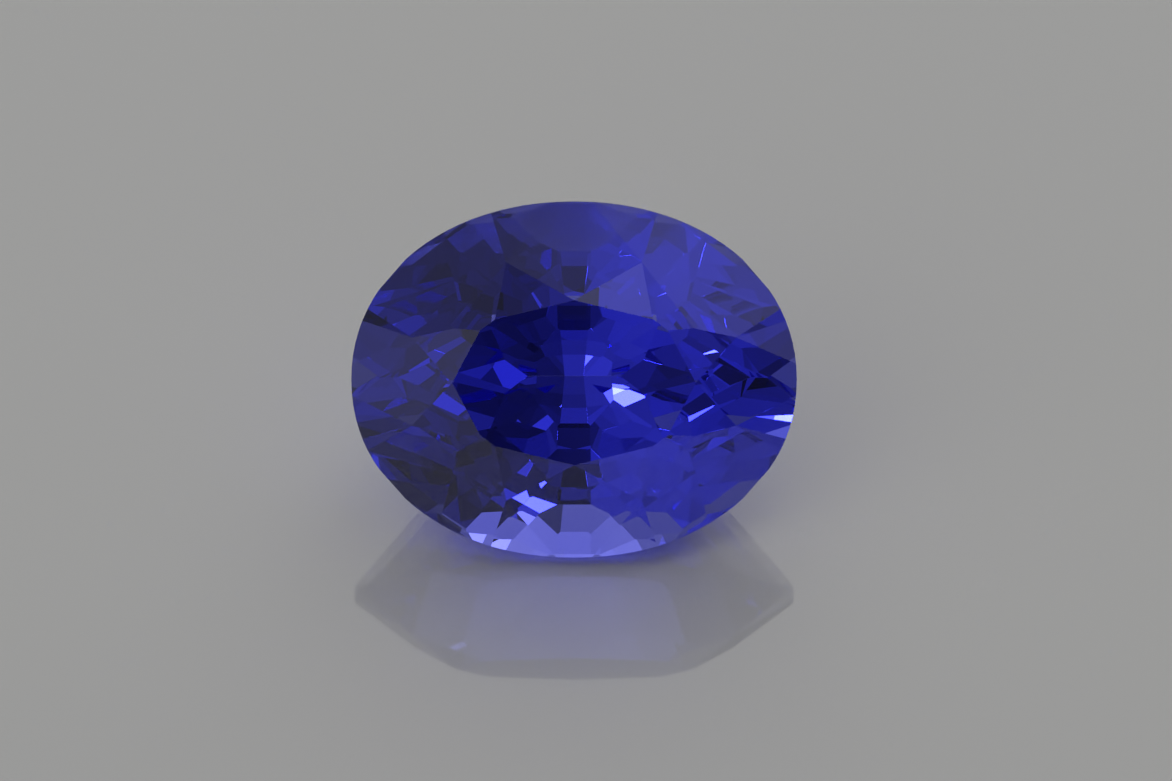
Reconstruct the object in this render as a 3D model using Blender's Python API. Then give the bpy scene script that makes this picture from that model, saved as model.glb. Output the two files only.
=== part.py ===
"""An oval sapphire with a brilliant-cut crown, lying on one flat facet of its pavilion.

The stone is cut the way a cutter works. An oval blank is ground flat, one facet after another,
and each facet is described for the first quarter of the stone and repeated in the other three.
While it is cut, +X runs along the oval, +Y across it and +Z out of the table, with the origin in
the middle of the girdle. Then the stone is turned about X until its southern resting facet, on
the -Y side, lies flat on the ground at z = 0, with the table facing up and towards -Y.
"""

import math

import bmesh
import bpy
from mathutils import Matrix, Vector

MM = 0.001

# Girdle
LENGTH = 10.0 * MM
WIDTH = 8.0 * MM
FULLNESS = 2.08  # exponent of the outline: 2 is an ellipse, more is squarer
GIRDLE_THICKNESS = 0.26 * MM
GIRDLE_SIDES = 96

# Crown: heights are measured from the middle of the girdle
CROWN_HEIGHT = 1.69 * MM
TABLE_LENGTH = 5.44 * MM
TABLE_WIDTH = 3.69 * MM
TABLE_SHOULDER = (2.00 * MM, 1.36 * MM)  # the table's corner between its length and its width
NORTH_MEET = (1.52 * MM, 2.67 * MM)  # where a star, two bezels and two breaks meet, by the width
EAST_MEET = (3.63 * MM, 0.99 * MM)  # the same by the length
NORTH_BREAKS = (84, 53.5)  # directions in which the crown's girdle facets face, in degrees from +X
EAST_BREAKS = (33, 10.5)

# Pavilion: each facet by the direction it faces, in degrees from +X, by its slope against the
# plane of the girdle, and by the depth in mm at which its plane would meet the stone's axis
LEAN = 50.7  # slope of the resting facets, north and south, and so the stone's lean on one of them
REST_DEPTH = 5.18
KEEL_FACETS = ((90, 36.7, 4.49), (79.2, 36.7, 4.52))
MAINS = ((90, 41.6, 4.64), (70.7, 43.1, 4.75), (58.9, 39.5, 4.76), (22.8, 48.9, 5.65), (0, 43.3, 5.30))
MIDDLE_STEP = ((67.8, 47.6, 5.09), (34.7, 51.1, 5.88), (0, 51.2, 6.34))
GIRDLE_STEP = ((90, 60.1), (78.9, 58.2), (61.5, 60.2), (45.3, 57.6))  # these touch the girdle's edge

WELD = 1e-7  # points closer than this, in metres, count as one


def clear_scene():
    for thing in list(bpy.data.objects):
        bpy.data.objects.remove(thing, do_unlink=True)


def outline_point(angle):
    """The point of the girdle outline at this parameter of the oval."""
    along, across = math.cos(angle), math.sin(angle)
    power = 2 / FULLNESS
    x = LENGTH / 2 * math.copysign(abs(along) ** power, along)
    y = WIDTH / 2 * math.copysign(abs(across) ** power, across)
    return x, y


def outline_reach(direction):
    """How far the outline reaches in a direction, in degrees from +X."""
    power = FULLNESS / (FULLNESS - 1)
    along = abs(math.cos(math.radians(direction))) * LENGTH / 2
    across = abs(math.sin(math.radians(direction))) * WIDTH / 2
    return (along**power + across**power) ** (1 / power)


def heading(direction):
    """The level unit vector in a direction, in degrees from +X."""
    return Vector((math.cos(math.radians(direction)), math.sin(math.radians(direction)), 0))


def sloping_normal(direction, angle, side):
    """The normal of a facet of the crown (side 1) or of the pavilion (side -1)."""
    tilt = math.radians(angle)
    return math.sin(tilt) * heading(direction) + Vector((0, 0, side * math.cos(tilt)))


def facet_at_girdle(direction, angle, side):
    """The facet of this slope that touches the girdle's edge in its own direction."""
    normal = sloping_normal(direction, angle, side)
    edge = outline_reach(direction) * heading(direction)
    edge.z = side * GIRDLE_THICKNESS / 2
    return normal, normal.dot(edge)


def facet_to_point(direction, point):
    """The crown facet that rises from the girdle's edge to a point of the crown."""
    run = outline_reach(direction) - point.dot(heading(direction))
    rise = point.z - GIRDLE_THICKNESS / 2
    return facet_at_girdle(direction, math.degrees(math.atan2(rise, run)), 1)


def facet_through(first, second, third):
    """The facet through three points, facing away from the middle of the stone."""
    normal = (second - first).cross(third - first).normalized()
    if normal.dot(first) < 0:
        normal.negate()
    return normal, normal.dot(first)


def facet_across_axis(direction, angle, depth):
    """The pavilion facet whose plane meets the stone's axis at this depth in mm."""
    normal = sloping_normal(direction, angle, -1)
    return normal, -normal.z * depth * MM


def on_plane(facet, x, y):
    """The point of a facet's plane above or below a place on the ground plan."""
    normal, distance = facet
    return Vector((x, y, (distance - normal.x * x - normal.y * y) / normal.z))


def crown_facets():
    """The table, the bezels, the stars and the breaks of the first quarter."""
    north_corner = Vector((0, TABLE_WIDTH / 2, CROWN_HEIGHT))
    shoulder = Vector((*TABLE_SHOULDER, CROWN_HEIGHT))
    east_corner = Vector((TABLE_LENGTH / 2, 0, CROWN_HEIGHT))
    north_bezel = facet_to_point(90, north_corner)
    east_bezel = facet_to_point(0, east_corner)
    north_meet = on_plane(north_bezel, *NORTH_MEET)
    east_meet = on_plane(east_bezel, *EAST_MEET)
    facets = [
        (Vector((0, 0, 1)), CROWN_HEIGHT),
        north_bezel,
        east_bezel,
        facet_through(shoulder, north_meet, east_meet),
        facet_through(north_corner, shoulder, north_meet),
        facet_through(shoulder, east_corner, east_meet),
    ]
    facets += [facet_to_point(direction, north_meet) for direction in NORTH_BREAKS]
    facets += [facet_to_point(direction, east_meet) for direction in EAST_BREAKS]
    return facets


def pavilion_facets():
    """The resting facet and the four rows round it, of the first quarter."""
    rows = KEEL_FACETS + MAINS + MIDDLE_STEP
    facets = [facet_across_axis(90, LEAN, REST_DEPTH)]
    facets += [facet_across_axis(direction, angle, depth) for direction, angle, depth in rows]
    facets += [facet_at_girdle(direction, angle, -1) for direction, angle in GIRDLE_STEP]
    return facets


def in_four_quarters(facets):
    """Each facet with its mirror images, leaving out those that fall on themselves."""
    repeated = []
    for normal, distance in facets:
        for x_sign, y_sign in ((1, 1), (-1, 1), (-1, -1), (1, -1)):
            image = Vector((x_sign * normal.x, y_sign * normal.y, normal.z))
            if all((image - other).length > 1e-6 for other, _ in repeated):
                repeated.append((image, distance))
    return repeated


def oval_blank():
    """An upright oval cylinder, taller than the stone."""
    stone = bmesh.new()
    bmesh.ops.create_cone(
        stone,
        cap_ends=True,
        segments=GIRDLE_SIDES,
        radius1=1,
        radius2=1,
        depth=2 * LENGTH,
    )
    for vertex in stone.verts:
        vertex.co.x, vertex.co.y = outline_point(math.atan2(vertex.co.y, vertex.co.x))
    return stone


def grind(stone, facet):
    """Takes away what lies beyond a facet's plane and closes the cut with the flat facet."""
    normal, distance = facet
    cut = bmesh.ops.bisect_plane(
        stone,
        geom=stone.verts[:] + stone.edges[:] + stone.faces[:],
        dist=WELD,
        plane_co=normal * distance,
        plane_no=normal,
        clear_outer=True,
    )
    rim = [item for item in cut["geom_cut"] if isinstance(item, bmesh.types.BMEdge)]
    if len(rim) > 2:
        bmesh.ops.contextual_create(stone, geom=rim)


def cut_stone():
    """The finished stone as a mesh, still table up."""
    stone = oval_blank()
    for facet in in_four_quarters(crown_facets() + pavilion_facets()):
        grind(stone, facet)
    bmesh.ops.remove_doubles(stone, verts=stone.verts[:], dist=10 * WELD)
    bmesh.ops.recalc_face_normals(stone, faces=stone.faces[:])
    mesh = bpy.data.meshes.new("sapphire")
    stone.to_mesh(mesh)
    stone.free()
    return mesh


def sapphire_material():
    material = bpy.data.materials.new("polished_sapphire")
    material.use_nodes = True
    shader = material.node_tree.nodes["Principled BSDF"]
    shader.inputs["Base Color"].default_value = (0.05, 0.05, 0.32, 1)
    shader.inputs["Roughness"].default_value = 0.02
    shader.inputs["Metallic"].default_value = 0.0
    shader.inputs["IOR"].default_value = 1.77
    return material


def lay_down(stone):
    """Leans the stone onto its southern resting facet, with the middle of its box over the origin."""
    lean = Matrix.Rotation(math.radians(LEAN), 4, "X")
    corners = [lean @ vertex.co for vertex in stone.data.vertices]
    middle = [(min(c[axis] for c in corners) + max(c[axis] for c in corners)) / 2 for axis in (0, 1)]
    lowest = min(corner.z for corner in corners)
    stone.rotation_euler.x = math.radians(LEAN)
    stone.location = (-middle[0], -middle[1], -lowest)


def main():
    clear_scene()
    collection = bpy.data.collections.new("oval_sapphire")
    bpy.context.scene.collection.children.link(collection)
    stone = bpy.data.objects.new("sapphire", cut_stone())
    stone.data.materials.append(sapphire_material())
    collection.objects.link(stone)
    lay_down(stone)


main()
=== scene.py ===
"""An oval cut sapphire lying on a pavilion facet, in a plain studio with a glossy pale floor.

The file is laid out as an add-on and is run as a script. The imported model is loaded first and
stays the frame: the cut stone made here stands exactly where the model's stone lies.
"""

import math

import bmesh
import bpy
from mathutils import Matrix, Vector


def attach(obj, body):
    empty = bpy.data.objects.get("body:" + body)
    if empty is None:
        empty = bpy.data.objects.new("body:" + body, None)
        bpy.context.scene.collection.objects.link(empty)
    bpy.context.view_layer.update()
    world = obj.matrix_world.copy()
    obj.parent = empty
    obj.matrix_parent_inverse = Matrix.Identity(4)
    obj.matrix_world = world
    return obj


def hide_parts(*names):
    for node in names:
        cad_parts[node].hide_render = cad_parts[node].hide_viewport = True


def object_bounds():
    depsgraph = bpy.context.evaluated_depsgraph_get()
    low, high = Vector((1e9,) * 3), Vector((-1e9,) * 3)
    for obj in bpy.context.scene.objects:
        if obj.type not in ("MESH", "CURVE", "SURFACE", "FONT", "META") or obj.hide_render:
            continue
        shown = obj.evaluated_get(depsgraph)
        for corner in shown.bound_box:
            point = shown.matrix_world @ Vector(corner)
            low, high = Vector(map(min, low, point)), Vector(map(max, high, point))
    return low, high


bl_info = {
    "name": "Oval Cut Sapphire",
    "version": (1, 0, 0),
    "blender": (4, 5, 0),
    "location": "3D View > Sidebar > Sapphire",
    "description": "Cuts an oval sapphire and sets it on a glossy studio floor",
    "category": "Object",
}

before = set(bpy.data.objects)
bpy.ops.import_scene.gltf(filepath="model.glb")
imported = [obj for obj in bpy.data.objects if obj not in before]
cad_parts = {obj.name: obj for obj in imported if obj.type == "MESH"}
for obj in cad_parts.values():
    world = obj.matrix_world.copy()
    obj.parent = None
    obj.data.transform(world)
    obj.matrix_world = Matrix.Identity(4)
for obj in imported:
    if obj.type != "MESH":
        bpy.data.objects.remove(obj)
CAD_LOW, CAD_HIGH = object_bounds()

MM = 0.001
NODE = "sapphire"
STONE = "cut_sapphire"

# Girdle
LENGTH = 10.0 * MM
WIDTH = 8.0 * MM
FULLNESS = 2.08  # exponent of the outline: 2 is an ellipse, more is squarer
GIRDLE_THICKNESS = 0.26 * MM
GIRDLE_SIDES = 96

# Crown: heights are measured from the middle of the girdle
CROWN_HEIGHT = 1.69 * MM
TABLE_LENGTH = 5.44 * MM
TABLE_WIDTH = 3.69 * MM
TABLE_SHOULDER = (2.00 * MM, 1.36 * MM)  # the table's corner between its length and its width
NORTH_MEET = (1.52 * MM, 2.67 * MM)  # where a star, two bezels and two breaks meet, by the width
EAST_MEET = (3.63 * MM, 0.99 * MM)  # the same by the length
NORTH_BREAKS = (84, 53.5)  # directions in which the crown's girdle facets face, in degrees from +X
EAST_BREAKS = (33, 10.5)

# Pavilion: each facet by the direction it faces, in degrees from +X, by its slope against the
# plane of the girdle, and by the depth in mm at which its plane would meet the stone's axis
LEAN = 50.7  # slope of the resting facets, north and south, and so the stone's lean on one of them
REST_DEPTH = 5.18
KEEL_FACETS = ((90, 36.7, 4.49), (79.2, 36.7, 4.52))
MAINS = ((90, 41.6, 4.64), (70.7, 43.1, 4.75), (58.9, 39.5, 4.76), (22.8, 48.9, 5.65), (0, 43.3, 5.30))
MIDDLE_STEP = ((67.8, 47.6, 5.09), (34.7, 51.1, 5.88), (0, 51.2, 6.34))
GIRDLE_STEP = ((90, 60.1), (78.9, 58.2), (61.5, 60.2), (45.3, 57.6))  # these touch the girdle's edge

WELD = 1e-7  # points closer than this, in metres, count as one
SAME_NORMAL = 1e-6  # normals closer than this are one facet
UPRIGHT = 1e-4  # a face whose normal rises less than this stands upright
FIT = 0.05 * MM  # the finished stone fills the model's box to within this
EDGE_SEGMENTS = 2

# Corundum
SAPPHIRE_IOR = 1.77
GIRDLE_GRIT = 0.06 * MM  # size of the cloudy spots left by the girdle's grinding
GIRDLE_ROUGHNESS = (0.12, 0.3)  # between the smoother and the rougher spots

# Camera: the photograph looks almost square on to the table
CAMERA_ELEVATION = 41.9  # degrees above the floor
CAMERA_DISTANCE = 0.304
CAMERA_CLIP = (0.01, 20.0)
PHOTO_WIDTH, PHOTO_HEIGHT = 1172, 781
PIXELS_PER_METRE = 44535
STONE_PIXEL = (574.05, 379.44)  # where the middle of the girdle stands in the photograph's frame
SENSOR_WIDTH = 36.0

# Studio: soft light comes from a dome round the table. Its brightness is DOME_BASE at the horizon
# and DOME_RISE more overhead, and patches are added to it as (azimuth, elevation, width, strength),
# with angles in degrees. Azimuth 0 is beyond the stone and 90 to the right. A patch fades softly
# from its middle, and one of negative strength is a dark flag.
DOME_BASE = 0.051
DOME_RISE = 0.048
DOME_PATCHES = (
    (27.3, 32.4, 45.0, 0.76),
    (-8.6, 20.8, 21.7, 0.65),
    (76.2, 4.4, 37.7, -0.36),
    (-173.3, 36.7, 5.6, -0.57),
    (-173.0, 8.5, 19.3, 0.34),
    (-44.5, 80.0, 12.5, -0.51),
    (-119.8, 35.7, 43.8, 0.50),
    (13.5, 52.6, 5.7, -0.52),
    (5.9, 82.1, 28.4, 0.19),
    (-1.0, 59.7, 12.6, -0.42),
    (-87.3, 44.7, 17.8, -0.38),
    (136.0, 66.4, 24.8, -0.18),
    (4.8, 29.0, 12.5, -0.20),
    (-179.4, 46.1, 5.0, -0.28),
    (166.2, 33.4, 5.0, -0.19),
    (151.6, 17.6, 5.0, -0.09),
    (-168.2, 19.0, 6.6, -0.31),
    (95.3, 13.9, 10.4, 0.42),
    (62.0, 80.1, 8.8, 0.37),
    (89.4, 59.7, 8.7, -0.35),
    (-157.2, 7.8, 5.0, 0.34),
    (-164.4, 47.5, 5.0, -0.17),
)
DOME_DARKEST = 0.02  # what even a flag still sends back

# Small round lamps as (azimuth, elevation, width, strength): a facet that mirrors one flashes
TINY_LAMPS = (
    (-132.0, 39.0, 4.0, 8),
    (144.0, 9.0, 2.0, 8),
    (151.5, 28.5, 2.0, 8),
    (-117.0, 48.0, 4.0, 25),
    (-166.0, 12.0, 7.0, 5),
    (-166.0, 12.0, 2.0, 20),
    (151.5, 51.0, 2.0, 25),
    (-168.0, 40.5, 4.0, 8),
    (-154.5, 30.0, 2.0, 8),
    (164.0, 36.0, 5.0, 0.8),
    (37.0, 17.0, 8.0, 1.5),
    (56.0, 56.0, 5.0, 1.5),
    (-124.0, 50.0, 3.0, 4),
    (-75.0, 4.5, 5.0, 0.6),
    (177.0, 73.5, 1.6, 40),
    (-132.0, 39.0, 3.0, 4),
    (99.0, 6.0, 9.0, 0.6),
    (-87.0, 42.0, 5.0, 1.5),
    (148.5, 27.0, 5.0, 0.6),
    (-172.5, 42.0, 9.0, 0.6),
    (141.0, 13.5, 5.0, 0.6),
)
LAMP_DISTANCE = 1.5
LAMP_STEP = 0.01  # each lamp stands this much nearer than the last, so none lies in another

# Table top
FLOOR_SIZE = 8.0
FLOOR_GAP = 0.02 * MM  # in one plane with the resting facet, the table top would look black
FLOOR_ROUGHNESS = 0.04
FLOOR_IOR = 1.9  # acrylic's own is 1.49; this is matched to the mirror image in the photograph

INNER_BOUNCES = 32  # reflections and refractions that a ray may make inside the stone


def linear(hex_colour):
    """A colour given by its sRGB hex value, as Blender's linear numbers."""
    shares = [int(hex_colour[at : at + 2], 16) / 255 for at in (0, 2, 4)]
    return tuple(s / 12.92 if s <= 0.04045 else ((s + 0.055) / 1.055) ** 2.4 for s in shares)


def add_node(tree, kind, settings=None, values=None, links=None):
    """Adds a node with its settings, its unlinked values and what its inputs are linked to."""
    node = tree.nodes.new(kind)
    for name, value in (settings or {}).items():
        setattr(node, name, value)
    for name, value in (values or {}).items():
        node.inputs[name].default_value = value
    for name, source in (links or {}).items():
        tree.links.new(source, node.inputs[name])
    return node


def toward(azimuth, elevation):
    """The unit vector towards a place of the studio, both angles in degrees."""
    a, e = math.radians(azimuth), math.radians(elevation)
    return Vector((math.sin(a) * math.cos(e), math.cos(a) * math.cos(e), math.sin(e)))


# The cut: each facet is a plane, as a normal and its distance from the middle of the girdle


def outline_point(angle):
    """The point of the girdle outline at this parameter of the oval."""
    along, across = math.cos(angle), math.sin(angle)
    power = 2 / FULLNESS
    x = LENGTH / 2 * math.copysign(abs(along) ** power, along)
    y = WIDTH / 2 * math.copysign(abs(across) ** power, across)
    return Vector((x, y, 0))


def outline_reach(direction):
    """How far the outline reaches in a direction, in degrees from +X."""
    power = FULLNESS / (FULLNESS - 1)
    along = abs(math.cos(math.radians(direction))) * LENGTH / 2
    across = abs(math.sin(math.radians(direction))) * WIDTH / 2
    return (along**power + across**power) ** (1 / power)


def heading(direction):
    """The level unit vector in a direction, in degrees from +X."""
    return Vector((math.cos(math.radians(direction)), math.sin(math.radians(direction)), 0))


def facet_through_one(point, direction, angle, side=-1):
    """The facet of this direction and slope through a point, of the crown if side is 1."""
    tilt = math.radians(angle)
    normal = math.sin(tilt) * heading(direction) + Vector((0, 0, side * math.cos(tilt)))
    return normal, normal.dot(point)


def facet_at_girdle(direction, angle, side):
    """The facet of this slope that touches the girdle's edge in its own direction."""
    edge = outline_reach(direction) * heading(direction)
    edge.z = side * GIRDLE_THICKNESS / 2
    return facet_through_one(edge, direction, angle, side)


def facet_to_point(direction, point):
    """The crown facet that rises from the girdle's edge to a point of the crown."""
    run = outline_reach(direction) - point.dot(heading(direction))
    rise = point.z - GIRDLE_THICKNESS / 2
    return facet_at_girdle(direction, math.degrees(math.atan2(rise, run)), 1)


def facet_through(first, second, third):
    """The facet through three points, facing away from the middle of the stone."""
    normal = (second - first).cross(third - first).normalized()
    if normal.dot(first) < 0:
        normal.negate()
    return normal, normal.dot(first)


def on_plane(facet, x, y):
    """The point of a facet's plane above or below a place on the ground plan."""
    normal, distance = facet
    return Vector((x, y, (distance - normal.x * x - normal.y * y) / normal.z))


def crown_facets():
    """The table, the bezels, the stars and the breaks of the first quarter."""
    north_corner = Vector((0, TABLE_WIDTH / 2, CROWN_HEIGHT))
    shoulder = Vector((*TABLE_SHOULDER, CROWN_HEIGHT))
    east_corner = Vector((TABLE_LENGTH / 2, 0, CROWN_HEIGHT))
    north_bezel = facet_to_point(90, north_corner)
    east_bezel = facet_to_point(0, east_corner)
    north_meet = on_plane(north_bezel, *NORTH_MEET)
    east_meet = on_plane(east_bezel, *EAST_MEET)
    facets = [
        (Vector((0, 0, 1)), CROWN_HEIGHT),
        north_bezel,
        east_bezel,
        facet_through(shoulder, north_meet, east_meet),
        facet_through(north_corner, shoulder, north_meet),
        facet_through(shoulder, east_corner, east_meet),
    ]
    facets += [facet_to_point(direction, north_meet) for direction in NORTH_BREAKS]
    facets += [facet_to_point(direction, east_meet) for direction in EAST_BREAKS]
    return facets


def facet_across_axis(direction, angle, depth):
    """The pavilion facet whose plane meets the stone's axis at this depth in mm."""
    return facet_through_one(Vector((0, 0, -depth * MM)), direction, angle)


def pavilion_facets():
    """The resting facet and the four rows round it, of the first quarter."""
    rows = KEEL_FACETS + MAINS + MIDDLE_STEP
    facets = [facet_across_axis(90, LEAN, REST_DEPTH)]
    facets += [facet_across_axis(direction, angle, depth) for direction, angle, depth in rows]
    facets += [facet_at_girdle(direction, angle, -1) for direction, angle in GIRDLE_STEP]
    return facets


def in_four_quarters(facets):
    """Each facet with its mirror images, leaving out those that fall on themselves."""
    repeated = []
    for normal, distance in facets:
        for x_sign, y_sign in ((1, 1), (-1, 1), (-1, -1), (1, -1)):
            image = Vector((x_sign * normal.x, y_sign * normal.y, normal.z))
            if all((image - other).length > SAME_NORMAL for other, _ in repeated):
                repeated.append((image, distance))
    return repeated


def girdle_sides():
    """The upright sides of the oval blank."""
    sides = []
    for number in range(GIRDLE_SIDES):
        start = outline_point(2 * math.pi * number / GIRDLE_SIDES)
        end = outline_point(2 * math.pi * (number + 1) / GIRDLE_SIDES)
        normal = (end - start).cross(Vector((0, 0, 1))).normalized()
        sides.append((normal, normal.dot(start)))
    return sides


def grind(facet):
    """Cuts the stone in edit mode by a facet's plane and closes the cut with the flat facet."""
    normal, distance = facet
    bpy.ops.mesh.select_all(action="SELECT")
    bpy.ops.mesh.bisect(
        plane_co=normal * distance,
        plane_no=normal,
        use_fill=True,
        clear_outer=True,
        threshold=WELD,
    )


def rough_block():
    """Adds the block of rough that the stone is cut from."""
    bpy.ops.object.select_all(action="DESELECT")
    bpy.ops.mesh.primitive_cube_add(size=2 * LENGTH, location=(0, 0, 0))
    stone = bpy.context.active_object
    stone.name = STONE
    stone.data.name = STONE
    return stone


def is_upright(face):
    """Whether a face is one of the girdle's sides, while the stone still lies table up."""
    return abs(face.normal.z) < UPRIGHT


def soften_edges(width):
    """Rounds the polished edges between facets in edit mode, and the girdle's two rims with them."""
    mesh = bpy.context.active_object.data
    bpy.ops.mesh.select_mode(type="EDGE")
    bpy.ops.mesh.select_all(action="DESELECT")
    shape = bmesh.from_edit_mesh(mesh)
    for edge in shape.edges:
        edge.select = not all(is_upright(face) for face in edge.link_faces)
    bmesh.update_edit_mesh(mesh)
    bpy.ops.mesh.bevel(
        offset=width,
        segments=EDGE_SEGMENTS,
        profile=0.5,
        affect="EDGES",
        clamp_overlap=False,
    )


def mark_girdle(mesh):
    """Shades the girdle's sides as one round band and marks them for their finer grind."""
    mark = mesh.attributes.new("girdle", "FLOAT", "FACE")
    for face in mesh.polygons:
        face.use_smooth = is_upright(face)
        mark.data[face.index].value = float(is_upright(face))


def lay_down(stone):
    """Leans the stone onto its southern resting facet, where the model's stone lies."""
    bpy.ops.object.select_all(action="DESELECT")
    stone.select_set(True)
    bpy.context.view_layer.objects.active = stone
    stone.rotation_euler.x = math.radians(LEAN)
    bpy.ops.object.transform_apply(location=False, rotation=True, scale=False)
    corners = [vertex.co for vertex in stone.data.vertices]
    low = Vector([min(c[axis] for c in corners) for axis in range(3)])
    high = Vector([max(c[axis] for c in corners) for axis in range(3)])
    shift = (CAD_LOW + CAD_HIGH) / 2 - (low + high) / 2
    shift.z = CAD_LOW.z - low.z
    stone["girdle_middle"] = list(shift)
    stone.location = shift
    bpy.ops.object.transform_apply(location=True, rotation=False, scale=False)
    if (high - low - (CAD_HIGH - CAD_LOW)).length > FIT:
        raise RuntimeError(f"the cut stone spans {high - low}, not {CAD_HIGH - CAD_LOW}")


def sapphire_material(settings):
    """Polished transparent corundum, with a ground girdle."""
    # Corundum is clear, and its violet-blue deepens with the length of the light's path in it, so
    # short paths at the rim look pale and long ones under the table nearly black. The facets have a
    # mirror polish. The girdle is only ground, so it is silky, with slightly cloudier spots.
    material = bpy.data.materials.new("polished_corundum")
    material.use_nodes = True
    tree = material.node_tree
    tree.nodes.clear()
    place = add_node(tree, "ShaderNodeTexCoord")
    girdle = add_node(tree, "ShaderNodeAttribute", {"attribute_name": "girdle"})
    grain = add_node(
        tree,
        "ShaderNodeTexNoise",
        values={"Scale": 1 / GIRDLE_GRIT, "Detail": 2.0},
        links={"Vector": place.outputs["Object"]},
    )
    silk = add_node(
        tree,
        "ShaderNodeMapRange",
        values={
            "From Min": 0.3,
            "From Max": 0.7,
            "To Min": GIRDLE_ROUGHNESS[0],
            "To Max": GIRDLE_ROUGHNESS[1],
        },
        links={"Value": grain.outputs["Fac"]},
    )
    roughness = add_node(
        tree,
        "ShaderNodeMath",
        {"operation": "MULTIPLY"},
        links={0: silk.outputs["Result"], 1: girdle.outputs["Fac"]},
    )
    surface = add_node(
        tree,
        "ShaderNodeBsdfPrincipled",
        values={
            "Base Color": (1, 1, 1, 1),
            "Metallic": 0.0,
            "IOR": SAPPHIRE_IOR,
            "Transmission Weight": 1.0,
        },
        links={"Roughness": roughness.outputs["Value"]},
    )
    body = add_node(
        tree,
        "ShaderNodeVolumeAbsorption",
        values={"Color": (*settings.body_colour, 1), "Density": settings.colour_depth},
    )
    add_node(
        tree,
        "ShaderNodeOutputMaterial",
        links={"Surface": surface.outputs["BSDF"], "Volume": body.outputs["Volume"]},
    )
    return material


class SapphireSettings(bpy.types.PropertyGroup):
    """What a user would change on the stone."""

    edge_width: bpy.props.FloatProperty(
        name="Edge Width",
        description="Width of the rounded edge between two facets",
        default=0.002 * MM,
        min=0.0005 * MM,
        max=0.05 * MM,
        precision=6,
        unit="LENGTH",
    )
    body_colour: bpy.props.FloatVectorProperty(
        name="Body Colour",
        description="Colour of the light that the crystal lets through",
        default=linear("3752F7"),
        size=3,
        min=0,
        max=1,
        subtype="COLOR",
    )
    colour_depth: bpy.props.FloatProperty(
        name="Colour Depth",
        description="How strongly the crystal takes light away, per metre of path",
        default=283.0,
        min=0,
        max=2000,
    )


class StudioSettings(bpy.types.PropertyGroup):
    """What a user would change in the studio."""

    floor_colour: bpy.props.FloatVectorProperty(
        name="Floor Colour",
        description="Colour of the pale glossy table top",
        default=linear("E3E3E1"),
        size=3,
        min=0,
        max=1,
        subtype="COLOR",
    )
    dome_strength: bpy.props.FloatProperty(
        name="Dome Strength",
        description="Brightness of the soft light all round",
        default=1.0,
        min=0,
        max=10,
    )


class SAPPHIRE_OT_cut_stone(bpy.types.Operator):
    """Cuts the oval sapphire from a block, facet by facet, and lays it on its pavilion."""

    bl_idname = "sapphire.cut_stone"
    bl_label = "Cut Stone"

    def execute(self, context):
        settings = context.scene.sapphire_settings
        stone = rough_block()
        bpy.ops.object.mode_set(mode="EDIT")
        for facet in girdle_sides() + in_four_quarters(crown_facets() + pavilion_facets()):
            grind(facet)
        bpy.ops.mesh.select_all(action="SELECT")
        bpy.ops.mesh.remove_doubles(threshold=10 * WELD)
        soften_edges(settings.edge_width)
        bpy.ops.mesh.select_all(action="SELECT")
        bpy.ops.mesh.normals_make_consistent(inside=False)
        bpy.ops.object.mode_set(mode="OBJECT")
        mark_girdle(stone.data)
        lay_down(stone)
        stone.data.materials.append(sapphire_material(settings))
        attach(stone, "root")
        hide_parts(NODE)
        return {"FINISHED"}


def table_top_material(settings):
    """Glossy pale acrylic sheet, cast and polished."""
    # Its nearly smooth face gives the stone's soft mirror image over an even pale grey.
    material = bpy.data.materials.new("glossy_pale_acrylic")
    material.use_nodes = True
    tree = material.node_tree
    surface = tree.nodes["Principled BSDF"]
    surface.inputs["Base Color"].default_value = (*settings.floor_colour, 1)
    surface.inputs["Roughness"].default_value = FLOOR_ROUGHNESS
    surface.inputs["IOR"].default_value = FLOOR_IOR
    return material


def dome_world(settings):
    """Soft light from all round, with brighter patches and darker flags."""
    world = bpy.data.worlds.new("studio_dome")
    world.use_nodes = True
    tree = world.node_tree
    tree.nodes.clear()
    view = add_node(tree, "ShaderNodeTexCoord").outputs["Generated"]
    height = add_node(
        tree,
        "ShaderNodeVectorMath",
        {"operation": "DOT_PRODUCT"},
        {1: (0, 0, 1)},
        {0: view},
    )
    level = add_node(
        tree,
        "ShaderNodeMath",
        {"operation": "MULTIPLY_ADD"},
        {1: DOME_RISE, 2: DOME_BASE},
        {0: height.outputs["Value"]},
    ).outputs[0]
    for azimuth, elevation, width, strength in DOME_PATCHES:
        cosine = add_node(
            tree,
            "ShaderNodeVectorMath",
            {"operation": "DOT_PRODUCT"},
            {1: toward(azimuth, elevation)},
            {0: view},
        )
        narrow = 1 / (1 - math.cos(math.radians(width)))
        power = add_node(
            tree,
            "ShaderNodeMath",
            {"operation": "MULTIPLY_ADD"},
            {1: narrow, 2: -narrow},
            {0: cosine.outputs["Value"]},
        )
        fall = add_node(tree, "ShaderNodeMath", {"operation": "EXPONENT"}, links={0: power.outputs[0]})
        level = add_node(
            tree,
            "ShaderNodeMath",
            {"operation": "MULTIPLY_ADD"},
            {1: strength},
            {0: fall.outputs[0], 2: level},
        ).outputs[0]
    level = add_node(
        tree,
        "ShaderNodeMath",
        {"operation": "MAXIMUM"},
        {1: DOME_DARKEST},
        {0: level},
    ).outputs[0]
    light = add_node(
        tree,
        "ShaderNodeBackground",
        values={"Strength": settings.dome_strength},
        links={"Color": level},
    )
    add_node(tree, "ShaderNodeOutputWorld", links={"Surface": light.outputs["Background"]})
    return world


def girdle_middle():
    """Where the middle of the stone's girdle is, as lay_down left it."""
    return Vector(bpy.data.objects[STONE]["girdle_middle"])


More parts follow.
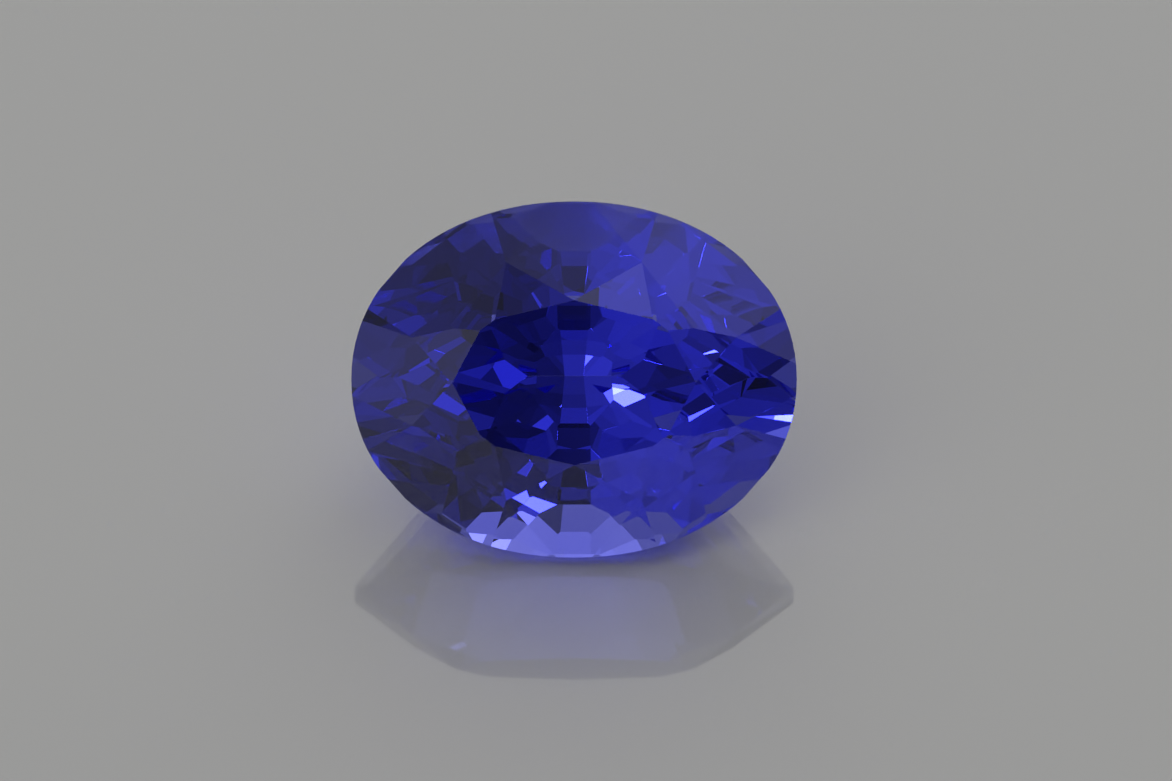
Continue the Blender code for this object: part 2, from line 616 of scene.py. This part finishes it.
def set_camera(context):
    """Looks at the stone from the photograph's side and height, with its framing."""
    elevation = math.radians(CAMERA_ELEVATION)
    back = Vector((0, -math.cos(elevation), math.sin(elevation)))
    right = Vector((1, 0, 0))
    up = back.cross(right)
    off_right = (PHOTO_WIDTH / 2 - STONE_PIXEL[0]) / PIXELS_PER_METRE
    off_up = (STONE_PIXEL[1] - PHOTO_HEIGHT / 2) / PIXELS_PER_METRE
    aim = girdle_middle() + off_right * right + off_up * up
    lens = bpy.data.cameras.new("macro_camera")
    lens.sensor_width = SENSOR_WIDTH
    lens.lens = SENSOR_WIDTH * CAMERA_DISTANCE * PIXELS_PER_METRE / PHOTO_WIDTH
    lens.clip_start, lens.clip_end = CAMERA_CLIP
    camera = bpy.data.objects.new("macro_camera", lens)
    context.scene.collection.objects.link(camera)
    camera.location = aim + CAMERA_DISTANCE * back
    camera.rotation_euler = back.to_track_quat("Z", "Y").to_euler()
    context.scene.camera = camera


def set_light_paths(scene):
    """Lets light run through the stone's many inner reflections, with plain colours."""
    cycles = scene.cycles
    cycles.max_bounces = INNER_BOUNCES
    cycles.glossy_bounces = INNER_BOUNCES
    cycles.transmission_bounces = INNER_BOUNCES
    cycles.transparent_max_bounces = 8
    cycles.caustics_reflective = True
    cycles.caustics_refractive = True
    cycles.blur_glossy = 0.0
    cycles.sample_clamp_indirect = 0.0
    cycles.denoising_input_passes = "RGB"
    scene.view_settings.view_transform = "Standard"
    scene.view_settings.look = "None"


def add_tiny_lamps(context):
    """Small bright lamps far out, which the facets show as sparks."""
    for number, (azimuth, elevation, width, strength) in enumerate(TINY_LAMPS, 1):
        light = bpy.data.lights.new(f"spark_lamp_{number}", "AREA")
        light.shape = "DISK"
        distance = LAMP_DISTANCE - number * LAMP_STEP
        radius = distance * math.tan(math.radians(width / 2))
        light.size = 2 * radius
        light.energy = strength * math.pi * (math.pi * radius**2)  # the face's brightness in watts
        lamp = bpy.data.objects.new(light.name, light)
        context.scene.collection.objects.link(lamp)
        out = toward(azimuth, elevation)
        lamp.location = girdle_middle() + distance * out
        lamp.rotation_euler = out.to_track_quat("Z", "Y").to_euler()
        lamp.visible_camera = False
        lamp.visible_diffuse = False


class SAPPHIRE_OT_set_studio(bpy.types.Operator):
    """Sets the glossy table top, the soft light, the tiny lamps and the camera."""

    bl_idname = "sapphire.set_studio"
    bl_label = "Set Studio"

    def execute(self, context):
        settings = context.scene.studio_settings
        bpy.ops.object.select_all(action="DESELECT")
        bpy.ops.mesh.primitive_plane_add(size=FLOOR_SIZE, location=(0, 0, -FLOOR_GAP))
        floor = bpy.context.active_object
        floor.name = "table_top"
        floor.data.materials.append(table_top_material(settings))
        context.scene.world = dome_world(settings)
        add_tiny_lamps(context)
        set_camera(context)
        set_light_paths(context.scene)
        return {"FINISHED"}


class SAPPHIRE_PT_panel(bpy.types.Panel):
    """The stone and its studio in the 3D view's sidebar."""

    bl_label = "Oval Cut Sapphire"
    bl_idname = "SAPPHIRE_PT_panel"
    bl_space_type = "VIEW_3D"
    bl_region_type = "UI"
    bl_category = "Sapphire"

    def draw(self, context):
        layout = self.layout
        stone = context.scene.sapphire_settings
        studio = context.scene.studio_settings
        for name in ("edge_width", "body_colour", "colour_depth"):
            layout.prop(stone, name)
        layout.operator(SAPPHIRE_OT_cut_stone.bl_idname)
        for name in ("floor_colour", "dome_strength"):
            layout.prop(studio, name)
        layout.operator(SAPPHIRE_OT_set_studio.bl_idname)


CLASSES = (
    SapphireSettings,
    StudioSettings,
    SAPPHIRE_OT_cut_stone,
    SAPPHIRE_OT_set_studio,
    SAPPHIRE_PT_panel,
)


def register():
    for cls in CLASSES:
        bpy.utils.register_class(cls)
    bpy.types.Scene.sapphire_settings = bpy.props.PointerProperty(type=SapphireSettings)
    bpy.types.Scene.studio_settings = bpy.props.PointerProperty(type=StudioSettings)


def unregister():
    del bpy.types.Scene.studio_settings
    del bpy.types.Scene.sapphire_settings
    for cls in reversed(CLASSES):
        bpy.utils.unregister_class(cls)


def main():
    register()
    bpy.ops.sapphire.cut_stone()
    bpy.ops.sapphire.set_studio()


if __name__ == "__main__":
    main()
